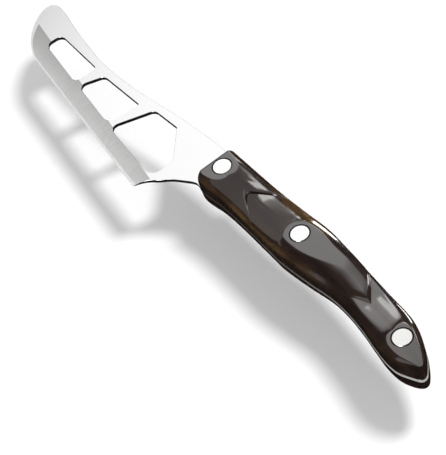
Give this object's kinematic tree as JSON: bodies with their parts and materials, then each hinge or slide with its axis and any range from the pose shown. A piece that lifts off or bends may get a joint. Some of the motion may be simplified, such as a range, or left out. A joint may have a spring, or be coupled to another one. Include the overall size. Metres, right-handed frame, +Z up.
{
  "type": "cheese knife",
  "caption": "Cheese knife on its side: steel blade with rounded windows and an upswept tip, full tang, and sculpted dark handle scales held by flush rivets.",
  "frame": {"origin": "middle of the middle rivet's lower head, in the plane that the knife rests on", "axes": "+X from the butt to the tip, +Y from the spine to the cutting edge, +Z up from the plane that the knife rests on"},
  "size_m": [0.2455, 0.0374, 0.0156],
  "materials": {
    "blade_steel": "mirror-polished flats with a satin hollow-ground band",
    "handle_resin": "polished dark brown, moulded resin",
    "rivet_metal": "nickel silver, ground flush and polished"
  },
  "bodies": {
    "root": {"blade": "blade_steel", "upper_scale": "handle_resin", "lower_scale": "handle_resin", "front_rivet_tube": "rivet_metal", "front_rivet_pin": "rivet_metal", "middle_rivet_tube": "rivet_metal", "middle_rivet_pin": "rivet_metal", "rear_rivet_tube": "rivet_metal", "rear_rivet_pin": "rivet_metal"}
  },
  "joints": []
}
